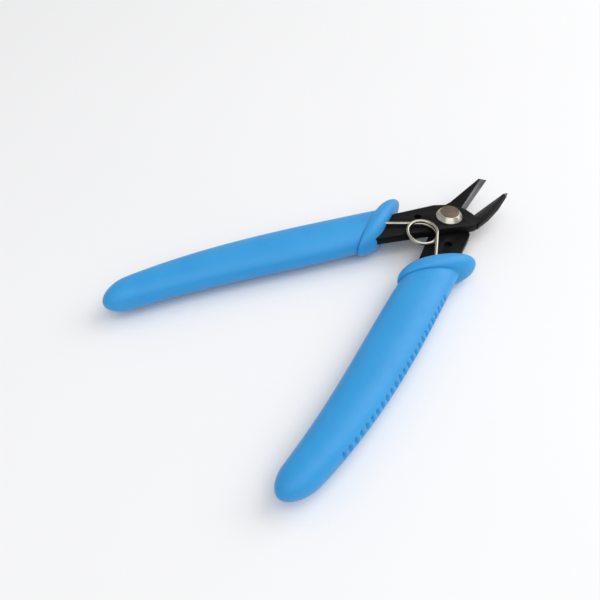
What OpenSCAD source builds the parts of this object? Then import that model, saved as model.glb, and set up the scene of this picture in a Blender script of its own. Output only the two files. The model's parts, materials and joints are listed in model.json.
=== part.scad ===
// Small spring-loaded side cutter with two plate levers and moulded grips.
// It lies flat: jaws towards +X, handles towards -X, +Z up, grips resting on z = 0.

/* [Plates] */
// Thickness of each lever plate
plate_t = 2.5; // [2.3:0.1:2.6]
// Running gap between the two plates
plate_gap = 0.1; // [0.06:0.02:0.2]
// Radius of the eye round the rivet
eye_r = 5.4; // [5:0.1:6]
// Half width of the tang inside the grip
tang_half_w = 3.4; // [2.5:0.1:3.6]
// Distance from the pivot to the hidden end of the tang
tang_len = 88; // [64:8:96]
// Radius of the tooling hole in each plate
hole_r = 1.15; // [0.8:0.05:1.4]
// Distance of the tooling hole from the pivot, along the handle
hole_s = 9.5; // [8.5:0.1:10.5]
// Offset of the tooling hole towards the outside of the handle
hole_v = 2.1; // [1:0.1:3]

/* [Jaws] */
// Distance from the pivot to the cutting tips
jaw_len = 23.4; // [22.4:0.2:24.4]
// Half gap left between the closed cutting edges
edge_gap = 0.05; // [0.02:0.01:0.1]
// Height of the cutting tips above the plates' meeting plane
tip_z = 2.3; // [2:0.1:2.5]
// Height of the tips' top corners above the plates' meeting plane
tip_top_z = 3.4; // [3:0.1:3.8]

/* [Pivot] */
// Radius of the rivet shank
shank_r = 2.4; // [2:0.1:2.8]
// Radial running clearance of the rivet in the eyes
shank_clearance = 0.05; // [0.02:0.01:0.1]
// Radius of the rivet head
head_r = 4.1; // [3.8:0.1:4.6]
// Radius of the flat on top of the rivet head
head_flat_r = 2.95; // [2.3:0.05:3.2]
// Height of the rivet head
head_h = 1.6; // [1.2:0.1:2]
// Radius of the rivet's formed tail under the lower plate
tail_r = 3.6; // [3:0.1:4]
// Height of the rivet's formed tail
tail_h = 1.2; // [0.8:0.1:1.4]

/* [Motion] */
// Angle of each handle from the tool axis when the jaws are shut
closed_half = 14.8; // [13:0.1:16]
// Angle that each lever opens from shut to rest
open_half = 10.5; // [6:0.1:12]

/* [Grips] */
// Distance from the pivot to the end of the grip
grip_end = 106; // [104:1:108]
// Half width of the grip behind the collar
grip_half_w = 7.3; // [6.9:0.1:7.6]
// Half height of the grip
grip_half_h = 4.5; // [4.3:0.1:5]
// Distance from the pivot to the middle of the lower grip's collar
collar_s = 22.5; // [21.5:0.1:23.5]
// How much further forward the upper grip's collar is
upper_collar_lead = 1.2; // [0:0.1:1.6]
// How far the collar stands proud of the grip above and below
collar_proud_z = 1.3; // [0.9:0.1:1.5]
// How far the collar stands proud at the two sides of the handle
collar_proud_v = 2.8; // [1.5:0.1:3]
// Slant of the upper grip's collar, its outer end forward
upper_collar_slant = 39; // [34:1:42]
// Slant of the lower grip's collar, its outer end forward
lower_collar_slant = 33; // [28:1:38]
// Width of the collar's bead along the handle
collar_w = 7.2; // [6:0.1:8]

/* [Spring] */
// Diameter of the spring wire
wire_d = 1; // [0.9:0.05:1.2]
// Mean radius of the spring's coil
coil_r = 4.4; // [4:0.1:4.5]
// Distance of the coil's centre behind the pivot
coil_back = 12.9; // [12.5:0.1:13.2]
// Angle between the jaws' direction and each leg
leg_dir = 139.7; // [136:0.1:143]
// Length of each leg from the coil into its grip
leg_len = 16; // [14:0.5:18]
// Slope of the coil, down towards the lower lever's side
coil_tilt = 0.1; // [0:0.01:0.12]
// Distance of the coil's centre from the tool's line, towards the lower lever
coil_side = 0.7; // [0:0.1:0.9]

/* [Placement] */
// Distance of the pivot ahead of the frame's origin
pivot_x = 38; // [30:0.01:50]

/* [Hidden] */
$fn = 64;

// Height of the plates' meeting plane above the rest surface
mid_z = grip_half_h + collar_proud_z;
plate_z0 = plate_gap / 2;
plate_z1 = plate_z0 + plate_t;

// Puts a part that is drawn with the jaws shut into its open rest place. The levers are
// drawn as for a handle on the +Y side; the lower one (side -1) is mirrored.
module at_rest(side) {
  translate([pivot_x, 0, mid_z]) rotate([0, 0, -side * open_half]) mirror([0, side < 0 ? 1 : 0, 0]) children();
}

// A lever's own directions: s runs back from the pivot along the handle, v to the outside
function lever_xy(s, v) = [
  -s * cos(closed_half) + v * sin(closed_half),
  s * sin(closed_half) + v * cos(closed_half)
];

// Side-to-side drift, half width and half height of the grip at a distance s from the pivot
bend_start = 34;
function bend_x(s) = (s - bend_start) / (grip_end - bend_start);
function drift(s) = let (x = bend_x(s)) 1.8 - 4 * x + 2.1 * x * x - 6.8 * x * x * x;
function half_w(s) = let (x = bend_x(s)) grip_half_w + 0.23 * x - 3.04 * x * x;
function half_h(s) = grip_half_h - 0.4 * pow(max(0, bend_x(s)), 2);

// ---- Lever plates ----

mouth_s = 27.4;
tang_step = 8;
hole_shift = 0.85;

// The lower plate sits further to the outside than the upper one, where it is in the open
function tang_out(side) = side < 0 ? 7.3 : 5.2;
function tang_in(side) = side < 0 ? 3.5 : 4.8;
function eye_out(side) = side < 0 ? 7.7 : 6.1;

module tang_outline(side) {
  back = [for (s = [mouth_s + tang_step:tang_step:tang_len]) s];
  n = len(back);
  polygon(concat(
    [lever_xy(-1.5, 5.2), lever_xy(2.6, eye_out(side)), lever_xy(18, tang_out(side))],
    [for (s = back) lever_xy(s, drift(s) + tang_half_w)],
    [for (i = [n - 1:-1:0]) lever_xy(back[i], drift(back[i]) - tang_half_w)],
    [lever_xy(mouth_s, 0.8 - tang_in(side)), lever_xy(9, -tang_in(side)), lever_xy(1, -tang_in(side) / 2 - 2.9),
      lever_xy(-4, -5.9)]
  ));
}

upper_neck = [[-2, 4], [2.9, 4.6], [5.3, 2.3], [6.4, 0], [6.9, -2.8], [6.6, -6.8], [4.4, -7.3], [1.9, -6.8], [-3, -4]];
lower_neck = [[-2, 4], [4.6, 2.7], [5.7, 0], [9, -0.4], [9, -4.6], [5, -5.6], [1.9, -5.8], [-3, -4]];

module bored_plate(side, neck) {
  hole_xy = lever_xy(hole_s, hole_v + (side < 0 ? hole_shift : 0));
  difference() {
    linear_extrude(plate_t) {
      circle(r = eye_r);
      tang_outline(side);
      polygon(neck);
    }
    translate([0, 0, -1]) cylinder(r = shank_r + shank_clearance, h = plate_t + 2);
    translate([hole_xy[0], hole_xy[1], -1]) cylinder(r = hole_r, h = plate_t + 2);
  }
}

// A jaw is the solid between its corners: root top, root bottom, and the tip
module jaw(corners) {
  hull() polyhedron(points = corners, faces = [[for (i = [0:len(corners) - 1]) i]]);
}

cutting_tip = [jaw_len, -edge_gap, tip_z];
tip_heel = [jaw_len - 1.8, -1.5, tip_z];

// The upper jaw rolls down to its cutting edge, ahead of the lower plate
upper_jaw = [
  [5.5, -7.5, plate_z1 - 0.05], [5.5, -7.3, plate_z0], [6, -3.5, 0.3], [6.5, -3.2, plate_z0],
  [9.9, -0.85, -0.5], [10.6, -edge_gap, -1.65], [11, -6, 0.35], [16.5, -4, 1],
  [jaw_len - 2.6, -0.6, tip_top_z], [jaw_len - 2.5, -1.1, tip_top_z], tip_heel, cutting_tip
];

// The lower jaw rises to meet it
lower_root_x = 8.5;
lower_jaw = [
  [lower_root_x, -0.4, -plate_z0], [lower_root_x, -4.6, -plate_z0],
  [lower_root_x, -4.7, -plate_z1], [12.5, -4.2, -plate_z1],
  [lower_root_x, -edge_gap, -plate_z1], [12.2, -edge_gap, -plate_z1],
  [jaw_len - 3.1, -1.15, tip_top_z + 0.5], [jaw_len - 2.9, -1.65, tip_top_z + 0.5], tip_heel, cutting_tip
];

module upper_lever() {
  color([0.08, 0.08, 0.09]) at_rest(1) {
    translate([0, 0, plate_z0]) bored_plate(1, upper_neck);
    jaw(upper_jaw);
  }
}

module lower_lever() {
  color([0.08, 0.08, 0.09]) at_rest(-1) {
    translate([0, 0, -plate_z1]) bored_plate(-1, lower_neck);
    jaw(lower_jaw);
  }
}

// ---- Rivet: chamfered flat head above, shank, formed tail below ----

head_clearance = 0.04;
head_rim_h = 0.2;

module pivot_rivet() {
  head_z = plate_z1 + head_clearance;
  tail_z = -plate_z1 - head_clearance;
  color([0.78, 0.76, 0.72]) translate([pivot_x, 0, mid_z]) rotate_extrude() polygon([
    [0, tail_z - tail_h], [tail_r - 0.9, tail_z - tail_h], [tail_r, tail_z - 0.4], [tail_r, tail_z],
    [shank_r, tail_z], [shank_r, head_z],
    [head_r, head_z], [head_r, head_z + head_rim_h], [head_flat_r, head_z + head_h], [0, head_z + head_h]
  ]);
}

// ---- Spring: one wire, a leg into each grip and one and a quarter turns ----

coil_turn = 180 + 2 * leg_dir;
coil_steps = 45;
wire_sides = 10;
coil_pitch = wire_d + 0.08;
coil_low_z = plate_z1 + wire_d / 2 + 0.12;
lower_leg_end_z = 2.4;

// A point of the coil, k from 0 at the upper leg to 1 at the lower leg
function coil_point(k) = let (a = leg_dir - 90 - coil_turn * k, y = coil_r * sin(a) - coil_side)
  [coil_r * cos(a) - coil_back, y, coil_low_z + coil_tilt * (y - 1) + coil_pitch * coil_turn / 360 * k];

// A point of a leg, k from 0 at the coil to 1 at its end in the grip (side 1 upper, -1 lower)
function leg_drop(side) = side > 0 ? 0.2 : lower_leg_end_z - coil_point(1)[2];
function leg_point(side, k) = coil_point(side > 0 ? 0 : 1)
  + leg_len * k * [cos(leg_dir), side * sin(leg_dir), 0] + [0, 0, leg_drop(side) * k];

leg_steps = [0.08, 0.33, 0.66, 1];
wire_path = concat(
  [for (i = [3:-1:0]) leg_point(1, leg_steps[i])],
  [for (i = [0:coil_steps]) coil_point(i / coil_steps)],
  [for (k = leg_steps) leg_point(-1, k)]
);

// A tube of diameter d swept along the points of a route
module tube(route, d, sides) {
  n = len(route);
  along = [for (i = [0:n - 1]) route[min(i + 1, n - 1)] - route[max(i - 1, 0)]];
  rings = [for (i = [0:n - 1])
    let (t = along[i] / norm(along[i]), side = cross([0, 0, 1], t) / norm(cross([0, 0, 1], t)), up = cross(t, side))
    for (j = [0:sides - 1]) route[i] + d / 2 * (cos(360 * j / sides) * side + sin(360 * j / sides) * up)];
  walls = [for (i = [0:n - 2], j = [0:sides - 1]) let (k = (j + 1) % sides)
    each [[i * sides + j, (i + 1) * sides + j, (i + 1) * sides + k], [i * sides + j, (i + 1) * sides + k, i * sides + k]]];
  caps = [[for (j = [0:sides - 1]) j], [for (j = [sides - 1:-1:0]) (n - 1) * sides + j]];
  polyhedron(points = rings, faces = concat(walls, caps));
}

module return_spring() {
  color([0.8, 0.79, 0.76]) translate([pivot_x, 0, mid_z]) tube(wire_path, wire_d, wire_sides);
}

// ---- Grips ----

round_len = 7.5;
roundness = 2.15;
grip_sides = 32;
bead_steps = 8;
bead_front_w = 0.7;
bead_front_h = 0.57;
bead_shift = 0.9;

// A collar is [distance of its middle, slant]
upper_collar = [collar_s - upper_collar_lead, upper_collar_slant];
lower_collar = [collar_s, lower_collar_slant];

// Slant of the cross-section plane at a distance s, fading out behind the collar
function bead_back(collar) = collar[0] + collar_w / 2;
function slant(s, collar) = collar[1] * pow(1 - min(1, max(0, s - bead_back(collar)) / 30), 1.6);

// One cross-section: [distance, drift, slant, half width, half height]
function body_section(s, collar) = let (
    left = (grip_end - s) / round_len,
    cap = left >= 1 ? 1 : sqrt(max(0.0004, 1 - (1 - left) * (1 - left)))
  ) [s, drift(s), slant(s, collar), cap * half_w(s) / cos(slant(s, collar)), cap * half_h(s)];
// The collar's bead, half a turn round its crest from the front (a = 0) to the crease behind (a = 180)
function bead_section(a, collar) = let (
    s = collar[0] - collar_w / 2 * cos(a),
    b = body_section(s, collar),
    crest = [b[3] + collar_proud_v, grip_half_h + collar_proud_z],
    foot = a < 90 ? [crest[0] * bead_front_w, crest[1] * bead_front_h] : [b[3] * 0.97, b[4] * 0.95],
    size = foot + (crest - foot) * sin(a)
  ) [s, b[1] + bead_shift * (a < 90 ? 1 : sin(a)), collar[1], size[0], size[1]];

body_steps = concat([for (s = [44:5:99]) s],
  [for (k = [0, 0.3, 0.55, 0.75, 0.9, 0.98, 1]) grip_end - round_len * (1 - k)]);
function sections(collar) = concat(
  [for (i = [0:bead_steps]) bead_section(180 * i / bead_steps, collar)],
  [for (s = [0.6, 2, 4.5, 8, 12]) body_section(bead_back(collar) + s, collar)],
  [for (s = body_steps) body_section(s, collar)]
);

function signed_pow(v, p) = sign(v) * pow(abs(v), p);
function section_point(c, j) = let (
    a = 360 * j / grip_sides,
    q = c[3] * signed_pow(cos(a), 2 / roundness),
    at = lever_xy(c[0] - q * sin(c[2]), c[1] + q * cos(c[2]))
  ) [at[0], at[1], c[4] * signed_pow(sin(a), 2 / roundness)];

module grip_skin(collar) {
  rings = sections(collar);
  n = len(rings);
  points = [for (c = rings, j = [0:grip_sides - 1]) section_point(c, j)];
  walls = [for (i = [0:n - 2], j = [0:grip_sides - 1]) let (k = (j + 1) % grip_sides, a = i * grip_sides)
    each [[a + j, a + k, a + grip_sides + k], [a + j, a + grip_sides + k, a + grip_sides + j]]];
  caps = [[for (j = [grip_sides - 1:-1:0]) j], [for (j = [0:grip_sides - 1]) (n - 1) * grip_sides + j]];
  polyhedron(points = points, faces = concat(walls, caps));
}

// The channel in a grip's mouth that takes a spring leg, open to the plate below it
channel_w = wire_d + 0.54;
channel_from = 0.4;
module leg_channel(side, floor_z) {
  from = leg_point(side, channel_from);
  top_z = max(from[2], leg_point(side, 1)[2]) + channel_w / 2;
  translate([pivot_x + from[0], from[1], mid_z + floor_z])
    rotate([0, 0, side * leg_dir])
      translate([0, -channel_w / 2, 0]) cube([leg_len * (1.03 - channel_from), channel_w, top_z - floor_z]);
}

// The resize keeps the size and makes the grip one solid with its pockets
module pocketed_grip(side, plate_base, channel_floor) {
  resize([0, 0, 0]) difference() {
    at_rest(side) difference() {
      grip_skin(side > 0 ? upper_collar : lower_collar);
      translate([0, 0, plate_base]) linear_extrude(plate_t) tang_outline(side);
    }
    leg_channel(side, channel_floor);
  }
}

module upper_grip() {
  color([0.24, 0.59, 0.86]) pocketed_grip(1, plate_z0, plate_z1 - 0.3);
}

module lower_grip() {
  color([0.24, 0.59, 0.86]) pocketed_grip(-1, -plate_z1, 1.4);
}

upper_lever();
lower_lever();
pivot_rivet();
return_spring();
upper_grip();
lower_grip();
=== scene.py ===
import json
import math

import bmesh
import bpy
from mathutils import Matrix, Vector

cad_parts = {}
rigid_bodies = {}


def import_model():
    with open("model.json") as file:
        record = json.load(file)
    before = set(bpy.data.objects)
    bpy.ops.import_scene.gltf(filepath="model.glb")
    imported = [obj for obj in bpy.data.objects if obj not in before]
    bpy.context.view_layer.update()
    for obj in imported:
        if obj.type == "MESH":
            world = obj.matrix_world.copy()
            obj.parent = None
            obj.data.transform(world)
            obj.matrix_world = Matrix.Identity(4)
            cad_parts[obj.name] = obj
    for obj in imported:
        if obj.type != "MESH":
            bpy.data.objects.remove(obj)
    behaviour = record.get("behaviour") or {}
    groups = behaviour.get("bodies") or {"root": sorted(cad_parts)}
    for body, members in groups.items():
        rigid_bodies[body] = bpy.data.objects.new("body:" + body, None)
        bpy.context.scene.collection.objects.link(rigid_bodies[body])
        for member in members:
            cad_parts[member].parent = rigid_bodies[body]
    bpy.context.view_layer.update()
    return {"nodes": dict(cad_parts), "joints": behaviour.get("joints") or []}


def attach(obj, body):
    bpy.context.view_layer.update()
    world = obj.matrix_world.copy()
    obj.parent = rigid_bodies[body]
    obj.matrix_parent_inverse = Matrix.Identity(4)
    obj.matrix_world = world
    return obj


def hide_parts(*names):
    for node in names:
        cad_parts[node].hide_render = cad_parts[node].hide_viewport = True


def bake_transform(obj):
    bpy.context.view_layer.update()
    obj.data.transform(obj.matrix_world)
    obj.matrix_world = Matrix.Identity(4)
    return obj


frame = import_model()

MM = 0.001

# ---------------------------------------------------------------- frame

joint = frame["joints"][0]
PIVOT = Vector(joint["pos_m"])
LOWER, UPPER = joint["parent"], joint["child"]
nodes = frame["nodes"]

# ---------------------------------------------------------------- camera

# Heading from +X, downward pitch, focal length over image width, and place seen from the pivot in mm
CAM_AZ, CAM_EL = math.radians(49.7), math.radians(46.75)
FOCAL = 727.0 / 600
SENSOR = 36
CAM_FROM_PIVOT = Vector((-146.05, -101.4, 147.5))
cam_data = bpy.data.cameras.new("camera")
cam_data.sensor_width = SENSOR
cam_data.lens = FOCAL * SENSOR
cam_data.clip_start, cam_data.clip_end = 0.01, 20
cam = bpy.data.objects.new("camera", cam_data)
bpy.context.scene.collection.objects.link(cam)
cam.location = PIVOT + CAM_FROM_PIVOT * MM
look = Vector((
    math.cos(CAM_AZ) * math.cos(CAM_EL),
    math.sin(CAM_AZ) * math.cos(CAM_EL),
    -math.sin(CAM_EL),
))
cam.rotation_euler = look.to_track_quat("-Z", "Y").to_euler()
bpy.context.scene.camera = cam
bpy.context.scene.view_settings.view_transform = "Standard"


# ---------------------------------------------------------------- helpers

def new_object(name, bm, body, materials):
    """A smooth-shaded object from a bmesh, riding on a body unless that is None."""
    mesh = bpy.data.meshes.new(name)
    bm.to_mesh(mesh)
    bm.free()
    obj = bpy.data.objects.new(name, mesh)
    bpy.context.scene.collection.objects.link(obj)
    for m in materials:
        mesh.materials.append(m)
    for p in mesh.polygons:
        p.use_smooth = True
    if body:
        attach(obj, body)
    return obj


def apply_modifiers(obj):
    """Swaps the object's mesh for the one its modifiers give."""
    bpy.context.view_layer.update()
    graph = bpy.context.evaluated_depsgraph_get()
    mesh = bpy.data.meshes.new_from_object(obj.evaluated_get(graph))
    obj.modifiers.clear()
    obj.data = mesh


# ---------------------------------------------------------------- materials

class Nodes:
    """Short calls for a material's node tree."""

    def __init__(self, name):
        self.material = bpy.data.materials.new(name)
        self.material.use_nodes = True
        self.tree = self.material.node_tree
        self.shader = self.tree.nodes["Principled BSDF"]
        self.coords = self.add("ShaderNodeTexCoord")

    def add(self, kind, **inputs):
        n = self.tree.nodes.new(kind)
        for k, v in inputs.items():
            n.inputs[k.replace("_", " ")].default_value = v
        return n

    def link(self, a, b):
        self.tree.links.new(a, b)

    def noise(self, scale, detail=3.0, rough=0.55):
        n = self.add("ShaderNodeTexNoise", Scale=scale, Detail=detail, Roughness=rough)
        self.link(self.coords.outputs["Object"], n.inputs["Vector"])
        return n.outputs["Fac"]

    def map(self, source, lo, hi, start=0.3, stop=0.7):
        n = self.add("ShaderNodeMapRange")
        n.inputs["From Min"].default_value, n.inputs["From Max"].default_value = start, stop
        n.inputs["To Min"].default_value, n.inputs["To Max"].default_value = lo, hi
        self.link(source, n.inputs["Value"])
        return n.outputs["Result"]

    def mix(self, factor, a, b):
        n = self.tree.nodes.new("ShaderNodeMix")
        n.data_type = "RGBA"
        self.link(factor, n.inputs["Factor"])
        for key, value in (("A", a), ("B", b)):
            sockets = [s for s in n.inputs if s.name == key and s.type == "RGBA"]
            if isinstance(value, tuple):
                sockets[0].default_value = (*value, 1)
            else:
                self.link(value, sockets[0])
        return [s for s in n.outputs if s.type == "RGBA"][0]

    def bump(self, height, strength, distance, normal=None):
        n = self.add("ShaderNodeBump", Strength=strength, Distance=distance)
        self.link(height, n.inputs["Height"])
        if normal:
            self.link(normal, n.inputs["Normal"])
        return n.outputs["Normal"]

    def set(self, **values):
        for k, v in values.items():
            self.shader.inputs[k.replace("_", " ")].default_value = v


def vinyl():
    """The grips' soft plastic, a little uneven."""
    m = Nodes("soft_blue_vinyl")
    wide, fine = m.noise(90, 2), m.noise(2600, 4, 0.6)
    blue = m.mix(m.map(wide, 0, 1), (0.020, 0.290, 0.655), (0.026, 0.318, 0.695))
    m.link(blue, m.shader.inputs["Base Color"])
    m.link(m.map(m.noise(420, 3), 0.40, 0.49), m.shader.inputs["Roughness"])
    m.link(m.bump(fine, 0.16, 0.00014, m.bump(wide, 0.22, 0.0005)), m.shader.inputs["Normal"])
    m.set(Specular_IOR_Level=0.42, Subsurface_Weight=0.12, Subsurface_Scale=0.002,
          Subsurface_Radius=(0.25, 0.5, 1.0), Sheen_Weight=0.06, Sheen_Roughness=0.5)
    return m.material


def black_oxide():
    """The plates' dull black finish."""
    m = Nodes("black_oxide_steel")
    grain, blotch = m.noise(3200, 4, 0.6), m.noise(260, 4, 0.6)
    black = m.mix(m.map(blotch, 0, 1), (0.004, 0.004, 0.0042), (0.008, 0.008, 0.0085))
    m.link(black, m.shader.inputs["Base Color"])
    m.link(m.map(blotch, 0.36, 0.5), m.shader.inputs["Roughness"])
    m.link(m.bump(grain, 0.22, 0.00006), m.shader.inputs["Normal"])
    m.set(Metallic=0.0, Specular_IOR_Level=0.09)
    return m.material


def ground_steel():
    """Freshly ground faces: grey with fine lines along the jaw."""
    m = Nodes("ground_steel")
    stretch = m.add("ShaderNodeMapping")
    stretch.inputs["Scale"].default_value = (0.06, 1.0, 1.6)
    m.link(m.coords.outputs["Object"], stretch.inputs["Vector"])
    lines = m.add("ShaderNodeTexNoise", Scale=5200.0, Detail=3.0, Roughness=0.6)
    m.link(stretch.outputs["Vector"], lines.inputs["Vector"])
    grey = m.mix(m.map(lines.outputs["Fac"], 0, 1), (0.085, 0.085, 0.087), (0.165, 0.165, 0.168))
    m.link(grey, m.shader.inputs["Base Color"])
    m.link(m.map(m.noise(700, 3), 0.34, 0.46), m.shader.inputs["Roughness"])
    m.link(m.bump(lines.outputs["Fac"], 0.25, 0.00005), m.shader.inputs["Normal"])
    m.set(Metallic=0.75)
    return m.material


def plated(name, low, high, rough, bump_scale=1800, bump=0.06):
    """Bright metal whose colour and roughness wander between two values."""
    m = Nodes(name)
    wear = m.noise(480, 3)
    m.link(m.mix(m.map(wear, 0, 1), low, high), m.shader.inputs["Base Color"])
    m.link(m.map(wear, rough[0], rough[1]), m.shader.inputs["Roughness"])
    m.link(m.bump(m.noise(bump_scale, 3), bump, 0.00005), m.shader.inputs["Normal"])
    m.set(Metallic=1.0)
    return m.material


VINYL, BLACK, GROUND = vinyl(), black_oxide(), ground_steel()
# The rivet's flat top: satin nickel, its rougher finish real, its dark colour partly painted shade
# standing in for the flat face's dark reflection
SATIN_AND_PAINTED_SHADE = plated("satin_nickel_painted_shade", (0.18, 0.14, 0.105), (0.24, 0.19, 0.145), (0.34, 0.44), 2600, 0.25)
BRIGHT = plated("bright_nickel", (0.40, 0.38, 0.33), (0.62, 0.59, 0.51), (0.20, 0.32))
WIRE = plated("nickel_wire", (0.40, 0.375, 0.31), (0.52, 0.49, 0.41), (0.16, 0.24))

# ---------------------------------------------------------------- grips

# Angles of a handle from the tool's line with the jaws shut, and from shut to rest
CLOSED, OPEN = math.radians(14.8), math.radians(10.5)
REST = CLOSED + OPEN
# In mm: the grip's end from the pivot, its half width and half height, and the collar's rise and width
GRIP_END, HALF_W, HALF_H = 106.0, 7.28, 4.5
PROUD_Z, PROUD_V, BEAD_W = 1.3, 2.8, 7.2
# For each side, the collar's place in mm from the pivot and its slant in degrees
COLLAR = {1: (21.3, 39.0), -1: (22.5, 33.0)}
ROUND_LEN, ROUNDNESS = 7.5, 2.15
NOTCH_FROM, NOTCH_PITCH, NOTCHES = 33.1, 2.39, 25
NOTCH_LEN, NOTCH_HALF_H, NOTCH_Z, NOTCH_DEPTH = 0.58, 1.0, 1.2, 1.15


def place(s, v, z, side):
    """A point in metres: s mm back from the pivot along a handle, v outward, z above mid-height."""
    x = -s * math.cos(REST) + v * math.sin(REST)
    y = s * math.sin(REST) + v * math.cos(REST)
    return PIVOT + Vector((x, side * y, z)) * MM


def drift(s):
    """Side-to-side bend of the grip's middle line."""
    x = (s - 34) / 72
    return 1.8 - 4 * x + 2.1 * x * x - 6.8 * x ** 3


def half_w(s):
    x = (s - 34) / 72
    return HALF_W + 0.23 * x - 3.04 * x * x


def half_h(s):
    return HALF_H - 0.4 * max(0, (s - 34) / 72) ** 2


def slant(s, side):
    mid, lean = COLLAR[side]
    back = mid + BEAD_W / 2
    return math.radians(lean) * (1 - min(1, max(0, s - back) / 30)) ** 1.6


def body_section(s, side):
    left = (GRIP_END - s) / ROUND_LEN
    cap = 1 if left >= 1 else math.sqrt(max(0.0004, 1 - (1 - left) ** 2))
    lean = slant(s, side)
    return [s, drift(s), lean, cap * half_w(s) / math.cos(lean), cap * half_h(s)]


def bead_section(a, side):
    mid, lean = COLLAR[side]
    s = mid - BEAD_W / 2 * math.cos(a)
    b = body_section(s, side)
    crest = (b[3] + PROUD_V, HALF_H + PROUD_Z)
    foot = (crest[0] * 0.7, crest[1] * 0.57) if a < math.pi / 2 else (b[3] * 0.97, b[4] * 0.95)
    w, h = (f + (c - f) * math.sin(a) for f, c in zip(foot, crest))
    shift = 0.9 * (1 if a < math.pi / 2 else math.sin(a))
    return [s, b[1] + shift, math.radians(lean), w, h]


def power(v, p):
    return math.copysign(abs(v) ** p, v)


def notch(s, z):
    """Depth of the row of small ovals pressed into the outer edge."""
    k = (s - NOTCH_FROM) / NOTCH_PITCH
    near = round(k)
    if near < 0 or near >= NOTCHES:
        return 0.0
    along, up = (k - near) * NOTCH_PITCH / NOTCH_LEN, (z - NOTCH_Z) / NOTCH_HALF_H
    r2 = along * along + up * up
    return NOTCH_DEPTH * (1 - r2) ** 0.5 if r2 < 1 else 0.0


def grip(side):
    name = "upper_grip" if side > 0 else "lower_grip"
    back = COLLAR[side][0] + BEAD_W / 2
    rings = [bead_section(math.pi * i / 22, side) for i in range(23)]
    steps, s = [], back + 0.35
    while s < 97:
        steps.append(s)
        s += 0.3 if s > NOTCH_FROM - 2 and s < NOTCH_FROM + NOTCHES * NOTCH_PITCH + 1 else 0.6
    steps += [GRIP_END - ROUND_LEN * (1 - math.sin(math.radians(6 * i))) for i in range(16)]
    steps = sorted(x for x in steps if x <= 97 or x > GRIP_END - ROUND_LEN)
    rings += [body_section(x, side) for x in steps]
    sides = 112
    bm = bmesh.new()
    layers = []
    for c in rings:
        ring = []
        for j in range(sides):
            # crowd the points towards the outer edge, where the ovals are
            t = 2 * math.pi * j / sides
            a = t - 0.45 * math.sin(t)
            q = c[3] * power(math.cos(a), 2 / ROUNDNESS)
            z = c[4] * power(math.sin(a), 2 / ROUNDNESS)
            s, v = c[0] - q * math.sin(c[2]), c[1] + q * math.cos(c[2])
            if q > 0 and c[0] > back + 1:
                v -= notch(s, z)
            ring.append(bm.verts.new(place(s, v, z, side)))
        layers.append(ring)
    for a, b in zip(layers, layers[1:]):
        for j in range(sides):
            k = (j + 1) % sides
            bm.faces.new((a[j], a[k], b[k], b[j]))
    for ring in (layers[0], layers[-1]):
        centre = bm.verts.new(sum((v.co for v in ring), Vector()) / sides)
        for j in range(sides):
            bm.faces.new((ring[j], ring[(j + 1) % sides], centre))
    bmesh.ops.recalc_face_normals(bm, faces=bm.faces)
    obj = new_object(name + "_sleeve", bm, UPPER if side > 0 else LOWER, [VINYL])
    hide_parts(name)


grip(1)
grip(-1)

# ---------------------------------------------------------------- levers


def lever(name, body, side):
    """The CAD plate with its edges slightly broken, given the black and the ground-steel materials."""
    bm = bmesh.new()
    bm.from_mesh(nodes[name].data)
    bmesh.ops.remove_doubles(bm, verts=bm.verts, dist=2e-6)
    bmesh.ops.dissolve_limit(bm, angle_limit=math.radians(1.0), verts=bm.verts, edges=bm.edges)
    bmesh.ops.triangulate(bm, faces=[f for f in bm.faces if len(f.verts) > 4])
    bmesh.ops.dissolve_limit(bm, angle_limit=math.radians(1.0), verts=bm.verts, edges=bm.edges)
    obj = new_object(name + "_plate", bm, None, [BLACK, GROUND])
    mod = obj.modifiers.new("edges", "BEVEL")
    mod.width, mod.segments, mod.limit_method, mod.angle_limit = 0.16 * MM, 2, "ANGLE", math.radians(28)
    mod.use_clamp_overlap = True
    mod.harden_normals = True
    apply_modifiers(obj)
    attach(obj, body)
    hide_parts(name)
    return obj


def on_jaw(p, side):
    """A point in the jaws' shut directions, in mm: along the tool, across it, up."""
    q = (p - PIVOT) / MM
    c, s = math.cos(OPEN), math.sin(OPEN) * side
    x, y = q.x * c - q.y * s, q.x * s + q.y * c
    return x, side * y, q.z


upper = lever("upper_lever", UPPER, 1)
lower = lever("lower_lever", LOWER, -1)
for obj, side in ((upper, 1), (lower, -1)):
    for p in obj.data.polygons:
        x, y, z = on_jaw(p.center, side)
        n = on_jaw(PIVOT + p.normal * MM, side)
        inner = x > 9 and y > -1.7 and n[1] > 0.45 and p.area > 0.3 * MM * MM
        tip = x > 20.5 and z > 1.5 and n[0] > 0.3 and n[2] > 0.1
        ground = inner or tip
        p.material_index = 1 if ground else 0

# ---------------------------------------------------------------- rivet

HEAD_R, FLAT_R, HEAD_H, TAIL_R, TAIL_H = 4.1, 2.95, 1.6, 3.6, 1.2
HEAD_Z, SHANK_R = 2.59, 2.4


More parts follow.
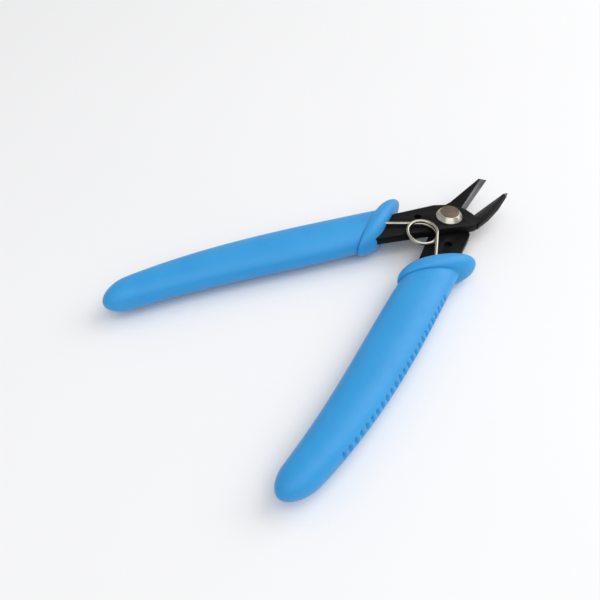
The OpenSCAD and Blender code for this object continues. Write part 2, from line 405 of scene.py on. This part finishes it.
def rivet():
    """Chamfered head, shank and formed tail, turned from one profile of radius and height."""
    top_z = HEAD_Z + HEAD_H
    low_z = -HEAD_Z - TAIL_H
    profile = [
        (0, top_z), (FLAT_R - 0.12, top_z), (FLAT_R - 0.02, top_z - 0.015), (FLAT_R + 0.06, top_z - 0.075),
        (HEAD_R - 0.12, HEAD_Z + 0.32), (HEAD_R - 0.02, HEAD_Z + 0.2), (HEAD_R, HEAD_Z + 0.14),
        (HEAD_R, HEAD_Z + 0.06), (HEAD_R - 0.06, HEAD_Z), (SHANK_R, HEAD_Z), (SHANK_R, -HEAD_Z),
        (TAIL_R - 0.05, -HEAD_Z), (TAIL_R, -HEAD_Z - 0.06), (TAIL_R, -HEAD_Z - 0.35),
        (TAIL_R - 0.1, -HEAD_Z - 0.55), (TAIL_R - 0.8, low_z + 0.08), (TAIL_R - 0.95, low_z), (0, low_z),
    ]
    sides = 96
    bm = bmesh.new()
    top = bm.verts.new(PIVOT + Vector((0, 0, profile[0][1])) * MM)
    end = bm.verts.new(PIVOT + Vector((0, 0, profile[-1][1])) * MM)
    turns = [2 * math.pi * j / sides for j in range(sides)]
    rings = [[bm.verts.new(PIVOT + Vector((r * math.cos(a), r * math.sin(a), z)) * MM) for a in turns]
             for r, z in profile[1:-1]]
    for j in range(sides):
        k = (j + 1) % sides
        bm.faces.new((top, rings[0][j], rings[0][k]))
        bm.faces.new((end, rings[-1][k], rings[-1][j]))
        for i, (a, b) in enumerate(zip(rings, rings[1:])):
            f = bm.faces.new((a[j], b[j], b[k], a[k]))
            # the flat top takes the darker satin nickel (partly painted shade); chamfer, shank and tail
            # take the bright nickel
            f.material_index = 1 if i >= 1 else 0
    bmesh.ops.recalc_face_normals(bm, faces=bm.faces)
    obj = new_object("rivet_headed", bm, LOWER, [SATIN_AND_PAINTED_SHADE, BRIGHT])
    obj.data.set_sharp_from_angle(angle=math.radians(40))
    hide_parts("pivot_rivet")


rivet()

# ---------------------------------------------------------------- spring

WIRE_D, COIL_R, COIL_BACK, COIL_SIDE = 1.0, 4.4, 12.9, 0.7
LEG_DIR, LEG_LEN, TILT = 139.7, 16.0, 0.1
TURN, PITCH = 180 + 2 * LEG_DIR, WIRE_D + 0.08
LOW_Z = 2.55 + WIRE_D / 2 + 0.12


def coil_point(k):
    """A point of the coil, k from 0 at the upper leg to 1 at the lower leg."""
    a = math.radians(LEG_DIR - 90 - TURN * k)
    y = COIL_R * math.sin(a) - COIL_SIDE
    z = LOW_Z + TILT * (y - 1) + PITCH * TURN / 360 * k
    return Vector((COIL_R * math.cos(a) - COIL_BACK, y, z))


def leg_point(side, k):
    """A point of a leg, k from 0 at the coil to 1 at its end in the grip."""
    start = coil_point(0 if side > 0 else 1)
    drop = 0.2 if side > 0 else 2.4 - start.z
    d = math.radians(LEG_DIR)
    return start + LEG_LEN * k * Vector((math.cos(d), side * math.sin(d), 0)) + Vector((0, 0, drop * k))


def spring():
    route = [leg_point(1, k / 12) for k in range(12, 0, -1)] + [coil_point(k / 180) for k in range(181)]
    route += [leg_point(-1, k / 12) for k in range(1, 13)]
    # soften the corner between coil and legs
    for _ in range(3):
        inner = [(a + 2 * b + c) / 4 for a, b, c in zip(route, route[1:], route[2:])]
        route = [route[0]] + inner + [route[-1]]
    sides = 20
    turns = [2 * math.pi * j / sides for j in range(sides)]
    bm = bmesh.new()
    rings = []
    n = len(route)
    for i, p in enumerate(route):
        t = (route[min(i + 1, n - 1)] - route[max(i - 1, 0)]).normalized()
        across = Vector((0, 0, 1)).cross(t).normalized()
        up = t.cross(across)
        spokes = [WIRE_D / 2 * (math.cos(a) * across + math.sin(a) * up) for a in turns]
        rings.append([bm.verts.new(PIVOT + (p + spoke) * MM) for spoke in spokes])
    for a, b in zip(rings, rings[1:]):
        for j in range(sides):
            k = (j + 1) % sides
            bm.faces.new((a[j], b[j], b[k], a[k]))
    bm.faces.new(rings[0])
    bm.faces.new(rings[-1][::-1])
    bmesh.ops.recalc_face_normals(bm, faces=bm.faces)
    obj = new_object("torsion_spring", bm, None, [WIRE])
    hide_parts("return_spring")
    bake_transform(obj)


spring()

# ---------------------------------------------------------------- floor, lights

floor_mesh = bpy.data.meshes.new("floor")
FLOOR = 3.0
corners = [(-FLOOR, -FLOOR, 0), (FLOOR, -FLOOR, 0), (FLOOR, FLOOR, 0), (-FLOOR, FLOOR, 0)]
floor_mesh.from_pydata(corners, [], [(0, 1, 2, 3)])
floor = bpy.data.objects.new("floor", floor_mesh)
bpy.context.scene.collection.objects.link(floor)
paper = Nodes("white_paper")
white = paper.mix(paper.map(paper.noise(6, 2), 0, 1), (0.86, 0.862, 0.872), (0.875, 0.877, 0.886))
paper.link(white, paper.shader.inputs["Base Color"])
paper.link(paper.map(paper.noise(300, 3), 0.62, 0.7), paper.shader.inputs["Roughness"])
paper.set(Specular_IOR_Level=0.25)
floor_mesh.materials.append(paper.material)

world = bpy.data.worlds.new("studio")
world.use_nodes = True
world.node_tree.nodes["Background"].inputs["Color"].default_value = (1.0, 1.0, 1.0, 1)
world.node_tree.nodes["Background"].inputs["Strength"].default_value = 0.53
bpy.context.scene.world = world


def softbox(name, direction, distance, size, power):
    """A square light; its direction from the tool is given as the camera's right, forward and up."""
    right = Vector((math.sin(CAM_AZ), -math.cos(CAM_AZ), 0))
    ahead = Vector((math.cos(CAM_AZ), math.sin(CAM_AZ), 0))
    d = (right * direction[0] + ahead * direction[1] + Vector((0, 0, 1)) * direction[2]).normalized()
    data = bpy.data.lights.new(name, "AREA")
    data.shape, data.size, data.energy = "SQUARE", size, power
    obj = bpy.data.objects.new(name, data)
    bpy.context.scene.collection.objects.link(obj)
    obj.location = d * distance
    obj.rotation_euler = (-d).to_track_quat("-Z", "Y").to_euler()


softbox("key", (0.85, 0.4, 0.85), 0.9, 0.8, 4.1)
softbox("fill", (0.1, -0.8, 1.4), 1.0, 1.1, 4.6)
